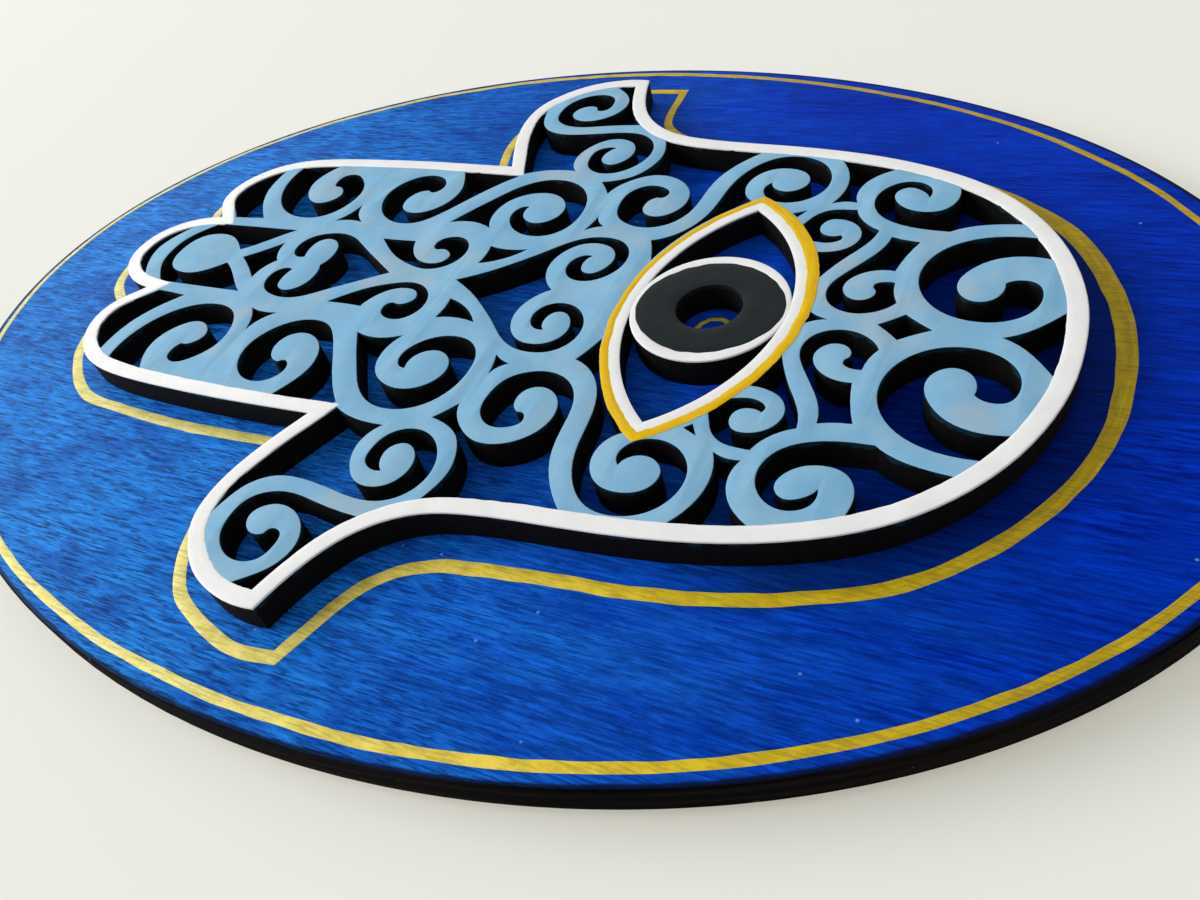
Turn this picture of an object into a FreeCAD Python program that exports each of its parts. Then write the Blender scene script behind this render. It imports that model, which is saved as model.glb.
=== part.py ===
import FreeCAD, Part
import math
import os
import Sketcher

# A hamsa wall plaque. An oval plywood backboard carries a laser-cut fretwork hand, glued flat on its face.
# The board hangs by a sawtooth hanger nailed to its back, and two felt pads keep it level.
# +Y runs from the wrist to the fingertips, +X to the viewer's right, +Z out of the painted face.
# The origin is below the middle of the oval, on the plane of the wall that the pads rest on.

doc = FreeCAD.newDocument("hamsa_plaque")

# Driving dimensions, in millimetres. The eye's shares are of half the hand's length, of its width and of its
# length, so that the eye keeps with the scrolls round it.
sheet = doc.addObject("Spreadsheet::Sheet", "sizes")
driving = [
    ("board_length", 300),
    ("board_width", 210),
    ("board_thickness", 6.5),
    ("board_edge_round", 0.6),
    ("hand_length", 228),
    ("hand_width", 175),
    ("panel_thickness", 6.3),
    ("rim_width", 3.3),
    ("eye_middle_share", 0.414),
    ("eye_length_share", 0.4263),
    ("eye_height_share", 0.1711),
    ("eye_frame_width", 3.9),
    ("eye_tip_rise", 0.8),
    ("pupil_overlap", 0.2),
    ("pupil_hole_diameter", 13.4),
    ("hanger_length", 45),
    ("hanger_width", 9),
    ("wall_gap", 2.4),
    ("hanger_sheet", 0.8),
    ("hanger_foot", 8),
    ("hanger_corner_round", 2),
    ("hanger_ramp", 3),
    ("hanger_from_top", 42),
    ("tooth_pitch", 3),
    ("tooth_depth", 1.6),
    ("tooth_tip", 0.6),
    ("tooth_margin", 1),
    ("nail_shank_diameter", 1.4),
    ("nail_head_diameter", 3.4),
    ("nail_head_thickness", 0.7),
    ("nail_depth", 5),
    ("nail_point", 1.2),
    ("nail_clearance", 0.05),
    ("pad_diameter", 12),
    ("pad_edge_round", 0.4),
    ("pad_from_side", 55),
    ("pad_from_bottom", 50),
]
for row, (alias, value) in enumerate(driving, start=1):
    sheet.set(f"A{row}", alias)
    sheet.set(f"B{row}", str(value))
    sheet.setAlias(f"B{row}", alias)
doc.recompute()
size = {alias: float(getattr(sheet, alias)) for alias, value in driving}

PERCENT = 0.01
up = FreeCAD.Vector(0, 0, 1)


# Every outline is a list of sides. A side starts at a corner and is one smooth curve to the next side's first
# point. Points are percentages: across, of half the hand's width, and along, of half its length.
# A table on the axis holds its top side, its right sides and its bottom side. The top and the bottom cross the
# axis smoothly. Where one is empty, the sides meet on the axis in a corner.
# Points of a cut-out that lie under the rim or the eye's frame only carry its edge on beneath them.

# The hand's outline, the half to the right, from the middle fingertip down to the wrist
hand_outline_shares = (
    [(0, 99.8), (5.5, 99), (10.6, 96.3), (14.3, 92.3), (16.2, 88.3)],
    [
        [(17, 85.1), (20.8, 87.5), (24.5, 89.6), (31, 90.5), (37.3, 88.9), (43.5, 84.8), (47.6, 79),
         (49.9, 71), (50.8, 62), (51.2, 52), (51.3, 42), (51, 30)],
        [(50.6, 19.2), (60, 22.4), (69, 24.7), (77, 25.5), (84.5, 24.5), (90.6, 21.4), (95.2, 17.4),
         (98.7, 11.4), (99.9, 6)],
    ],
    [(99.6, 1.8), (88, -0.9), (79.6, -4.5), (73, -10), (69.8, -15), (68.1, -20.5), (66.7, -30), (65.8, -40),
     (64.4, -50), (62, -60), (58, -70), (50, -81.7), (40, -89.7), (30.5, -94.5), (20.5, -97.7),
     (10.5, -99.5), (0, -100)],
)

# Cut-outs beside the axis: each is made once on either side
fingertip_shares = [
    [(18.3, 72.9), (17.8, 78)],
    [(17.5, 84.5), (25, 89), (32, 89.5), (40, 85.5)],
    [(47.5, 79.9), (39, 80.5), (31.5, 79.7), (25.5, 77.5), (21.6, 75.2)],
]
finger_upper_curl_shares = [
    [(48, 75), (42, 76.4), (36.5, 76.2), (29, 73.9), (22.9, 69.2), (20.1, 62.6), (21.8, 56.6), (27.8, 53.1),
     (34, 52.6), (40.2, 55.4), (42.7, 59.2), (41.3, 61.6), (38.7, 62.1)],
    [(36.1, 61.3), (35.3, 58.9), (32.2, 57.5), (28.6, 59.2), (27.4, 62.4), (30.7, 66.6), (37.3, 68.6),
     (43.6, 67.2)],
    [(49, 63.6), (49, 70)],
]
finger_lower_curl_shares = [
    [(49, 31), (42.6, 28.2), (37.3, 27), (30.9, 28.2), (27.1, 31.2), (26, 34.8), (27.8, 37.8), (31.6, 38.8),
     (35.5, 37.5)],
    [(36.9, 35), (36.2, 33.4), (38.3, 32.1), (41.6, 32.7), (44, 35.3), (43.9, 39.3), (39.8, 43.5), (33.8, 45),
     (27.8, 43.6), (23, 40), (21, 35.2), (22.3, 30.6), (25.2, 28.1), (32, 24.3), (40, 20)],
    [(46, 15.8)],
    [(49, 17.5)],
]
finger_gap_shares = [
    [(19.7, 52.4), (23.2, 50.3)],
    [(27.9, 49.1), (23.6, 47.9)],
    [(20.2, 45.3), (20.6, 49)],
]
heart_leaf_curl_shares = [
    [(13.7, 35.9), (13.6, 31)],
    [(13.8, 27.5), (9.4, 26), (6.2, 23.3), (5.2, 20.2), (6.3, 17.5), (8.7, 16.7), (10.9, 18)],
    [(11.2, 20.4), (12, 21.9), (14.4, 22), (16.9, 19.3), (16.2, 16), (12.6, 13.9), (8.6, 13.9), (4.7, 16),
     (2.9, 19.9), (4, 24.3), (6.8, 29.2), (10.3, 32.9)],
]
palm_curl_shares = [
    [(23.1, 23.2), (24.1, 18.3)],
    [(22, 12.9), (25.3, 14.1), (29.9, 14.4), (34.8, 12.9), (38.4, 8.8), (38.8, 4.4), (35.8, 0.4), (31.2, -1),
     (27.3, 0.3), (25.4, 3.6), (26.9, 6.5)],
    [(32.4, 7.5), (31.4, 9.4), (29, 10.1), (24.3, 8.8), (20.7, 5), (20, 1.2), (21.3, -2), (24.8, -4.4),
     (30.2, -5.3), (36.6, -4.5), (42.5, -1.2), (45.3, 4.2), (44.7, 8.7), (41.2, 13.1), (35, 17), (28.5, 20.5)],
]
heart_root_shares = [
    [(7.2, 9.1), (10.8, 8.8)],
    [(14.4, 9.2), (13.6, 5)],
    [(14.4, 0.7), (10, 4.2)],
]
thumb_root_curl_shares = [
    [(40.3, -7.9), (43.6, -8.9), (47.2, -11.4), (49.7, -15), (49.7, -18.6), (47.3, -22.5), (43.2, -25.1),
     (38.3, -25.8), (34, -24.4), (31.7, -20.9), (33.4, -18.1), (37, -17.5)],
    [(39.9, -19.2), (40.3, -20.6), (42.1, -21), (44.5, -19), (44.6, -15.2), (41.3, -12.6), (36.2, -12.1),
     (31, -13.4), (27.7, -17), (27, -21), (29.2, -25), (34.8, -27.7), (42.4, -28.4), (50, -29.3),
     (56.6, -31.7)],
    [(63.3, -36.2), (66.2, -25)],
    [(69.3, -11.6), (64.2, -13.5), (58.7, -14.3), (53.3, -13.3), (49, -11.1), (46.6, -8)],
    [(45.5, -4.8), (43.1, -6.4)],
]
palm_gap_shares = [
    [(24, -8.4), (27, -9.1)],
    [(30.1, -9.4), (28, -10.2)],
    [(26.2, -11.9), (25.4, -10)],
]
thumb_base_curl_shares = [
    [(47.2, 15.2), (49.4, 11), (50.2, 7)],
    [(50.1, 3.2), (53.3, 4.8), (57.6, 5.2), (62.4, 3.8), (66.2, 0.6), (66.7, -2.6), (64.8, -5.7), (60.5, -7.3),
     (56, -6.4), (53.8, -3.5), (56, -1), (59.8, -1.1)],
    [(62.1, -2.5), (62.2, -0.5), (60.3, 1.6), (56.8, 2), (52.6, 1), (49.7, -2.4), (50.3, -6.6), (54.6, -10.1),
     (60.2, -11.3), (65.8, -9.9), (69.2, -6.6), (70.2, -2.5), (69.4, 3.5), (68.4, 10), (69.7, 16.7),
     (73.4, 20), (78, 21.5)],
    [(84, 22.6), (76, 24), (66, 22.8), (56, 19.8)],
]
thumb_tip_curl_shares = [
    [(74.3, -7), (74.2, -1), (73.5, 4), (72.5, 9.6), (73.5, 14.4), (76.8, 17.5), (81, 18.2), (85.8, 17.4),
     (89.5, 14.6), (90.9, 10.7), (89.3, 7.4), (85.4, 6.3), (82.3, 7), (81.8, 8.7)],
    [(83.4, 9.6), (84.2, 11.7), (82.8, 13.8), (79.8, 14.7), (76.9, 13.1), (75.8, 10.1), (77.2, 6.3),
     (80.8, 3.5), (85, 2.6), (89.6, 3.7), (93.6, 6.6)],
    [(97, 10)],
    [(97.6, 2.4), (88, 0)],
]
brow_curl_shares = [
    [(22, -23.5), (23.8, -26.4), (29, -30), (37, -32), (46.2, -32.7), (55, -35.1), (60.3, -39.5), (61, -44),
     (58.6, -48.5), (53.2, -51.3), (47, -51.3), (42.3, -48.5), (40.8, -44.6), (42.5, -41.1), (46, -39.7)],
    [(48.9, -40.6), (46.3, -41.9), (45.5, -44.6), (48.8, -47.6), (53, -46.9), (55.5, -43), (54.6, -39.1),
     (51.2, -36.6), (46.5, -35.9)],
    [(40, -39.5), (30, -34), (20, -29)],
    [(10, -26.6), (17, -25.2)],
]
eye_corner_gap_shares = [
    [(36.6, -47.6)],
    [(35.2, -48.7)],
    [(38.1, -50)],
]
lash_curl_shares = [
    [(30, -49.5), (33, -50.7), (36.2, -51.9), (38.6, -54), (39.4, -57)],
    [(39.5, -58.9), (36.2, -60.2), (33.7, -62.1)],
    [(32.1, -64.2), (27.2, -63.2), (21, -60.4), (16, -58.4)],
    [(10, -56.6)],
    [(22.7, -53.4), (22.9, -57.4), (25, -60.3), (28.7, -61.6), (32.7, -60.7), (35.3, -57.4), (34.9, -54.9),
     (32.4, -53.8), (29.6, -54.5), (28.7, -56.6)],
    [(29.3, -58.1), (27.9, -58.4), (26.5, -57.2), (26.1, -55)],
    [(27.2, -52)],
]
side_gap_shares = [
    [(41.5, -53.8), (44.8, -54.8), (49.5, -55.2), (55, -54.3)],
    [(62.5, -50.2)],
    [(59.3, -67.5), (56.6, -62.4), (53.2, -59.4), (49, -57.8), (45.5, -57.6)],
    [(42.4, -58.3), (42.6, -56.3)],
]
cheek_curl_shares = [
    [(33.3, -75.9), (33.6, -71.8), (34.9, -67.2), (38.4, -63), (44.5, -61.3), (49.7, -62.9), (52.1, -66.5),
     (51, -69.4)],
    [(46, -70.5), (48.9, -68.5), (49.5, -66.1), (47.4, -64.5), (43.2, -65.4), (40.3, -69.5), (41.4, -73.6),
     (45.6, -75.5), (50.4, -75.3)],
    [(56, -73.5), (48, -83.5)],
    [(37.9, -90.5), (37.5, -85.5), (35.8, -79.3)],
]
wrist_small_curl_shares = [
    [(7.5, -71.6), (4.2, -69.2), (2.8, -65), (5.3, -61), (9.7, -59.8), (15.6, -61.5), (22.2, -64.8)],
    [(30, -66.8), (29.2, -69)],
    [(28.8, -71.8), (23.6, -70.4)],
    [(17.9, -69.5), (17.5, -66.2), (14.6, -63.1), (10.7, -62.2), (7.3, -64.3), (8, -67.1), (10, -67.8)],
    [(11.5, -67.2), (12.9, -67.2), (13.8, -68.3)],
    [(13.9, -70.2), (10.5, -70.6)],
]
wrist_curl_shares = [
    [(32.6, -93), (33.1, -88.5), (31.9, -82), (28.3, -77.2), (23.1, -74.4), (17.3, -73.6), (10.4, -75.3),
     (5.8, -79), (4, -84.2), (5.4, -89), (9.4, -92.1), (14, -92.8), (17.6, -91.6), (18.3, -89.4)],
    [(16.8, -87), (14.2, -87), (11.1, -85.6), (10.2, -83), (12, -80.7), (15.5, -79.8), (20.6, -81.2),
     (24.6, -84.4), (26.3, -88.3)],
    [(24.8, -95.4)],
]

side_cutouts_shares = [
    fingertip_shares, finger_upper_curl_shares, finger_lower_curl_shares, finger_gap_shares,
    heart_leaf_curl_shares, palm_curl_shares, heart_root_shares, thumb_root_curl_shares, palm_gap_shares,
    thumb_base_curl_shares, thumb_tip_curl_shares, brow_curl_shares, eye_corner_gap_shares,
    lash_curl_shares, side_gap_shares, cheek_curl_shares, wrist_small_curl_shares, wrist_curl_shares,
]

# Cut-outs on the axis: the half to the right, from the top down

middle_tip_shares = (
    [(0, 98.4)],
    [
        [(7, 97), (11, 93.5)],
    ],
    [(13, 89), (8, 92), (4, 93.5), (0, 94.1)],
)
middle_bulb_shares = (
    [(0, 89.3), (5, 88.7), (9.8, 86.4)],
    [
        [(13.7, 83.5), (13.9, 72)],
        [(14, 60), (10, 63.8), (6.3, 66.9)],
    ],
    [(3.1, 70.4), (6.5, 73.3), (8.9, 77), (9.1, 80.7), (7.6, 84), (4.6, 86), (0, 86.7)],
)
kite_shares = (
    [],
    [
        [(0, 67.5), (3.3, 64)],
        [(7.9, 60), (3.4, 59.4), (0, 57.6)],
    ],
    [],
)
heart_shares = (
    [],
    [
        [(0, 45.6), (5.4, 44.6), (9.5, 45.9), (11.4, 49.2), (10, 51.4), (7, 52.1)],
        [(2.9, 51.6), (2.6, 53.3), (4, 55), (7.6, 55.7), (11.2, 54.4), (13.6, 51), (14.2, 47), (12.9, 43.1),
         (9.8, 39.3), (4.8, 33.3), (0, 27.3)],
    ],
    [],
)
palm_pair_shares = (
    [],
    [
        [(0, 11.1), (2.2, 8), (4.9, 4.8), (9.6, 0.3), (14.2, -3.6), (18.4, -7), (21.2, -11), (21.7, -14.6),
         (20.6, -17.9), (17.3, -20.4), (12.6, -21.1), (8, -19.8), (5, -17.1), (4.3, -14.2), (5.7, -11.5),
         (9.5, -10.1), (12.8, -11)],
        [(14, -13.9), (10.4, -12.9), (7.8, -13.9), (7.4, -15.8), (9.8, -17.9), (13.4, -18.6), (17.2, -17.2),
         (19.1, -13.6), (18.2, -10.1), (14.7, -7.4), (9.6, -6.3), (4.9, -7.1), (0, -10.3)],
    ],
    [],
)
chin_notch_shares = (
    [],
    [
        [(0, -57.2)],
        [(3.4, -57.4), (0.9, -59.8), (0, -61.9)],
    ],
    [],
)
diamond_shares = (
    [],
    [
        [(0, -70), (1.9, -71.9)],
        [(4, -73.7), (1.7, -76.2), (0, -78.4)],
    ],
    [],
)
wrist_gap_shares = (
    [],
    [
        [(0, -88.7), (1.9, -91.4), (5.3, -94.2)],
    ],
    [(10.6, -97.4), (5.4, -98.2), (0, -98.4)],
)

axis_cutouts_shares = [
    middle_tip_shares, middle_bulb_shares, kite_shares, heart_shares, palm_pair_shares, chin_notch_shares,
    diamond_shares, wrist_gap_shares,
]


def mirrored(side):
    """The same side on the other half of the hand, run the other way."""
    return [(-across, along) for across, along in reversed(side)]


def side_loop(sides):
    """A closed loop of whole sides, each with its end point."""
    return [side + [following[0]] for side, following in zip(sides, sides[1:] + sides[:1])]


def axis_loop(half):
    """Both halves of an outline on the axis, as one closed loop of whole sides."""
    top, right, bottom = half
    sides = ([top] if top else []) + right + ([bottom] if bottom else [])
    chain = [side + [following[0]] for side, following in zip(sides, sides[1:])] + [sides[-1]]
    left = [mirrored(side) for side in reversed(chain)]
    if bottom:
        chain[-1] = chain[-1] + left.pop(0)[1:]
    if top:
        chain[0] = left.pop()[:-1] + chain[0]
    return chain + left


def in_millimetres(loop):
    """A loop of shares as points measured from the middle of the hand."""
    half_width = size["hand_width"] / 2
    half_length = size["hand_length"] / 2
    return [[FreeCAD.Vector(across * PERCENT * half_width, along * PERCENT * half_length)
             for across, along in side] for side in loop]


def curve_through(points):
    """A line through two points, or one smooth curve through more."""
    if len(points) == 2:
        return Part.LineSegment(*points)
    curve = Part.BSplineCurve()
    curve.interpolate(points)
    return curve


def face_inside(loop):
    """The flat face inside a closed loop of points."""
    return Part.Face(Part.Wire([curve_through(points).toShape() for points in loop]))


def disc(height, radius):
    """A flat round face with its middle on the axis, at this height along the hand."""
    return Part.Face(Part.Wire(Part.makeCircle(radius, FreeCAD.Vector(0, height))))


def mitred(before, after):
    """How far to move a corner for each millimetre that the two sides at it move along their normals."""
    return (before + after) / (1 + before.dot(after))


def rim_inside(loop):
    """The inner edge of the rim: each side of the outline moved in by the rim's width, with mitred corners."""
    curves = [curve_through(points) for points in loop]
    normals = [[curve.tangent(curve.parameter(at))[0].cross(up) for at in points]
               for curve, points in zip(curves, loop)]
    inner = []
    for points, own, before, after in zip(loop, normals, normals[-1:] + normals, normals[1:] + normals[:1]):
        moves = [mitred(before[-1], own[0])] + own[1:-1] + [mitred(own[-1], after[0])]
        inner.append([at + move * size["rim_width"] for at, move in zip(points, moves)])
    return inner


eye_middle = -size["eye_middle_share"] * size["hand_length"] / 2
eye_half_length = size["eye_length_share"] * size["hand_width"] / 2
eye_half_height = size["eye_height_share"] * size["hand_length"] / 2


def almond(inset):
    """The eye's outline moved in all round: what an upper and a lower disc have in common."""
    discs = []
    for way in (1, -1):
        rise = eye_half_height - way * size["eye_tip_rise"]
        radius = (eye_half_length ** 2 + rise ** 2) / (2 * rise)
        discs.append(disc(eye_middle + way * (eye_half_height - radius), radius - inset))
    return discs[0].common(discs[1])


def panel_cutouts():
    """Every hole that the laser cuts inside the rim, as flat faces."""
    within_rim = face_inside(rim_inside(in_millimetres(axis_loop(hand_outline_shares))))
    field = within_rim.cut(almond(0))
    loops = [axis_loop(half) for half in axis_cutouts_shares]
    for sides in side_cutouts_shares:
        loops.append(side_loop(sides))
        loops.append([mirrored(side) for side in reversed(side_loop(sides))])
    pieces = [face_inside(in_millimetres(loop)).common(field) for loop in loops]
    pupil_radius = eye_half_height - size["eye_frame_width"] + size["pupil_overlap"]
    pieces.append(almond(size["eye_frame_width"]).cut(disc(eye_middle, pupil_radius)))
    return [face for piece in pieces for face in piece.Faces]


def new_body(name, **places):
    """A body whose label names its file, placed by expressions for x, y and z."""
    body = doc.addObject("PartDesign::Body", name)
    body.Label = name
    for axis, expression in places.items():
        body.setExpression(f"Placement.Base.{axis}", expression)
    return body


def new_sketch(body, name, plane="XY_Plane"):
    """A sketch on one of the body's own origin planes."""
    sketch = body.newObject("Sketcher::SketchObject", name)
    planes = {feature.Role: feature for feature in body.Origin.OriginFeatures}
    sketch.AttachmentSupport = [(planes[plane], "")]
    sketch.MapMode = "FlatFace"
    return sketch


def draw(sketch, face):
    """Copy the edges of a flat face into a sketch."""
    for edge in face.Edges:
        sketch.addGeometry(edge.Curve.trim(*edge.ParameterRange), False)


def draw_polygon(sketch, corners):
    """A closed polygon in a sketch, from corners in millimetres."""
    points = [FreeCAD.Vector(*corner) for corner in corners]
    for first, second in zip(points, points[1:] + points[:1]):
        sketch.addGeometry(Part.LineSegment(first, second), False)


def draw_circle(sketch, middle, diameter, middle_expressions, diameter_expression):
    """A circle in a sketch, its middle and diameter bound to the sheet."""
    circle = sketch.addGeometry(Part.Circle(FreeCAD.Vector(*middle), up, diameter / 2), False)
    for kind, value, expression in zip(("DistanceX", "DistanceY"), middle, middle_expressions):
        if expression:
            bound = sketch.addConstraint(Sketcher.Constraint(kind, -1, 1, circle, 3, value))
            sketch.setExpression(f"Constraints[{bound}]", expression)
        else:
            sketch.addConstraint(Sketcher.Constraint("PointOnObject", circle, 3, -2 if kind == "DistanceX" else -1))
    bound = sketch.addConstraint(Sketcher.Constraint("Diameter", circle, diameter))
    sketch.setExpression(f"Constraints[{bound}]", diameter_expression)


def pad(body, name, sketch, expression, symmetric=False):
    """A pad of a sketch, its length bound to the sheet."""
    feature = body.newObject("PartDesign::Pad", name)
    feature.Profile = sketch
    feature.SideType = "Symmetric" if symmetric else "One side"
    feature.setExpression("Length", expression)
    return feature


def pocket(body, name, sketch, expression=None):
    """A pocket cut upwards from a sketch, right through the body unless a length is given."""
    feature = body.newObject("PartDesign::Pocket", name)
    feature.Profile = sketch
    feature.Reversed = True
    if expression:
        feature.setExpression("Length", expression)
    else:
        feature.Type = "ThroughAll"
    return feature


def fillet(body, name, feature, wanted, expression):
    """Round those edges of the last feature that pass the test."""
    doc.recompute()
    edges = [f"Edge{number}" for number, edge in enumerate(feature.Shape.Edges, start=1) if wanted(edge)]
    rounded = body.newObject("PartDesign::Fillet", name)
    rounded.Base = (feature, edges)
    rounded.setExpression("Radius", expression)
    return rounded


HANGER_PLACE = "sizes.board_length / 2 - sizes.hanger_from_top"


def make_backboard():
    """The oval backboard: cut from plywood, its edges eased all round, with pilot holes for the hanger's nails."""
    body = new_body("backboard", z="sizes.wall_gap")
    oval = new_sketch(body, "board_oval")
    length, width = size["board_length"], size["board_width"]
    oval.addGeometry(Part.Ellipse(FreeCAD.Vector(0, length / 2), FreeCAD.Vector(width / 2, 0), FreeCAD.Vector()),
                     False)
    oval.exposeInternalGeometry(0)
    oval.addConstraint(Sketcher.Constraint("Coincident", 0, 3, -1, 1))
    oval.addConstraint(Sketcher.Constraint("Vertical", 1))
    for axis, value, alias in ((1, length, "board_length"), (2, width, "board_width")):
        bound = oval.addConstraint(Sketcher.Constraint("Distance", axis, value))
        oval.setExpression(f"Constraints[{bound}]", f"sizes.{alias}")
    blank = pad(body, "board_blank", oval, "sizes.board_thickness")
    eased = fillet(body, "eased_edges", blank, lambda edge: isinstance(edge.Curve, Part.Ellipse),
                   "sizes.board_edge_round")
    pilots = new_sketch(body, "pilot_circles")
    draw_nail_circles(pilots, size["board_length"] / 2 - size["hanger_from_top"], HANGER_PLACE)
    pocket(body, "pilot_holes", pilots, "sizes.nail_depth + sizes.nail_clearance")
    return body


def draw_nail_circles(sketch, along, along_expression):
    """Two holes for the nails, each with the nail's clearance all round, at the middles of the hanger's feet."""
    across = (size["hanger_length"] - size["hanger_foot"]) / 2
    diameter = size["nail_shank_diameter"] + 2 * size["nail_clearance"]
    for way in (1, -1):
        draw_circle(sketch, (way * across, along), diameter,
                    (f"{way} * (sizes.hanger_length - sizes.hanger_foot) / 2", along_expression),
                    "sizes.nail_shank_diameter + 2 * sizes.nail_clearance")


def make_panel():
    """The fretwork hand: one sheet of fibreboard glued to the board, cut right through by a laser."""
    body = new_body("hamsa_panel", z="sizes.wall_gap + sizes.board_thickness")
    outline = new_sketch(body, "hand_outline")
    draw(outline, face_inside(in_millimetres(axis_loop(hand_outline_shares))))
    pad(body, "hand_blank", outline, "sizes.panel_thickness")
    scrolls = new_sketch(body, "scroll_outlines")
    for face in panel_cutouts():
        draw(scrolls, face)
    pocket(body, "scroll_cutouts", scrolls)
    pupil = new_sketch(body, "pupil_circle")
    draw_circle(pupil, (0, eye_middle), size["pupil_hole_diameter"],
                (None, "-sizes.eye_middle_share * sizes.hand_length / 2"), "sizes.pupil_hole_diameter")
    pocket(body, "pupil_hole", pupil)
    return body


def hanger_side():
    """The hanger's side view: two flat feet against the board, ramps, and a middle raised to the wall."""
    sheet_thickness = size["hanger_sheet"]
    rise = size["wall_gap"] - sheet_thickness
    end = size["hanger_length"] / 2
    bend = end - size["hanger_foot"]
    flat = bend - size["hanger_ramp"]
    shift = sheet_thickness * math.tan(math.atan2(rise, size["hanger_ramp"]) / 2)
    lower = [(flat, 0), (bend, rise), (end, rise)]
    upper = [(end, rise + sheet_thickness), (bend - shift, rise + sheet_thickness),
             (flat - shift, sheet_thickness)]
    right = lower + upper
    return right + [(-across, height) for across, height in reversed(right)]


def make_hanger():
    """The sawtooth hanger: a strip of steel sheet, toothed along the lower edge of its raised middle."""
    body = new_body("sawtooth_hanger", y=HANGER_PLACE)
    side = new_sketch(body, "strip_side", "XZ_Plane")
    draw_polygon(side, hanger_side())
    strip = pad(body, "strip", side, "sizes.hanger_width", symmetric=True)
    end = size["hanger_length"] / 2
    fillet(body, "rounded_corners", strip,
           lambda edge: all(abs(abs(vertex.X) - end) < size["nail_clearance"] for vertex in edge.Vertexes)
           and edge.tangentAt(edge.FirstParameter).cross(up).Length < size["nail_clearance"],
           "sizes.hanger_corner_round")
    teeth = new_sketch(body, "tooth_outlines")
    flat = 2 * (end - size["hanger_foot"] - size["hanger_ramp"] - size["tooth_margin"])
    notches = int(flat / size["tooth_pitch"])
    half_notch = (size["tooth_pitch"] - size["tooth_tip"]) / 2
    edge_along = -size["hanger_width"] / 2
    for number in range(notches):
        across = (number - (notches - 1) / 2) * size["tooth_pitch"]
        draw_polygon(teeth, [(across - half_notch, edge_along), (across + half_notch, edge_along),
                             (across, edge_along + size["tooth_depth"])])
    pocket(body, "teeth", teeth)
    holes = new_sketch(body, "nail_circles")
    draw_nail_circles(holes, 0, None)
    pocket(body, "nail_holes", holes)
    return body


def make_nails():
    """Two steel pins, each with a flat round head, driven through the hanger's feet into the board."""
    nails = []
    foot = "(sizes.wall_gap - sizes.hanger_sheet)"
    shank_length = "(sizes.hanger_sheet + sizes.nail_depth - sizes.nail_point)"
    solids = [
        ("Cylinder", "head", {"Radius": "sizes.nail_head_diameter / 2", "Height": "sizes.nail_head_thickness"},
         f"{foot} - sizes.nail_head_thickness"),
        ("Cylinder", "shank", {"Radius": "sizes.nail_shank_diameter / 2", "Height": shank_length}, foot),
        ("Cone", "point", {"Radius1": "sizes.nail_shank_diameter / 2", "Radius2": "0 mm",
                           "Height": "sizes.nail_point"}, f"{foot} + {shank_length}"),
    ]
    for side, way in (("left", -1), ("right", 1)):
        parts = []
        for kind, name, lengths, height in solids:
            solid = doc.addObject(f"Part::{kind}", f"{name}_{side}")
            for length, expression in lengths.items():
                solid.setExpression(length, expression)
            solid.setExpression("Placement.Base.x",
                                f"{way} * (sizes.hanger_length - sizes.hanger_foot) / 2")
            solid.setExpression("Placement.Base.y", HANGER_PLACE)
            solid.setExpression("Placement.Base.z", height)
            parts.append(solid)
        nail = doc.addObject("Part::MultiFuse", f"nail_{side}")
        nail.Shapes = parts
        nails.append(nail)
    pair = doc.addObject("Part::Compound", "hanger_nails")
    pair.Links = nails
    pair.Label = "hanger_nails"
    return pair


def make_pad(name, way):
    """A round felt pad stuck to the board's back, its wall side eased round the rim."""
    body = new_body(name, x=f"{way} * (sizes.board_width / 2 - sizes.pad_from_side)",
                    y="sizes.pad_from_bottom - sizes.board_length / 2")
    circle = new_sketch(body, f"{name}_circle")
    draw_circle(circle, (0, 0), size["pad_diameter"], (None, None), "sizes.pad_diameter")
    blank = pad(body, f"{name}_blank", circle, "sizes.wall_gap")
    fillet(body, f"{name}_eased", blank,
           lambda edge: isinstance(edge.Curve, Part.Circle) and edge.CenterOfMass.z < size["wall_gap"] / 2,
           "sizes.pad_edge_round")
    return body


pieces = [
    make_backboard(),
    make_panel(),
    make_hanger(),
    make_nails(),
    make_pad("bumper_pad_left", -1),
    make_pad("bumper_pad_right", 1),
]
doc.recompute()

# Nothing is written unless every object is sound
for item in doc.Objects:
    if "Invalid" in item.State or "Error" in item.State:
        raise RuntimeError(f"{item.Label} is {item.State}")
for piece in pieces:
    if piece.Shape.isNull() or not piece.Shape.isValid():
        raise RuntimeError(f"{piece.Label} has no sound shape")

os.makedirs("parts", exist_ok=True)
for piece in pieces:
    piece.Shape.exportStep(f"parts/{piece.Label}.step")
    box = piece.Shape.BoundBox
    print(piece.Label, len(piece.Shape.Solids), "solids", round(piece.Shape.Volume), "mm3",
          [round(value, 2) for value in (box.XMin, box.XMax, box.YMin, box.YMax, box.ZMin, box.ZMax)])
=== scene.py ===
import math

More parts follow.
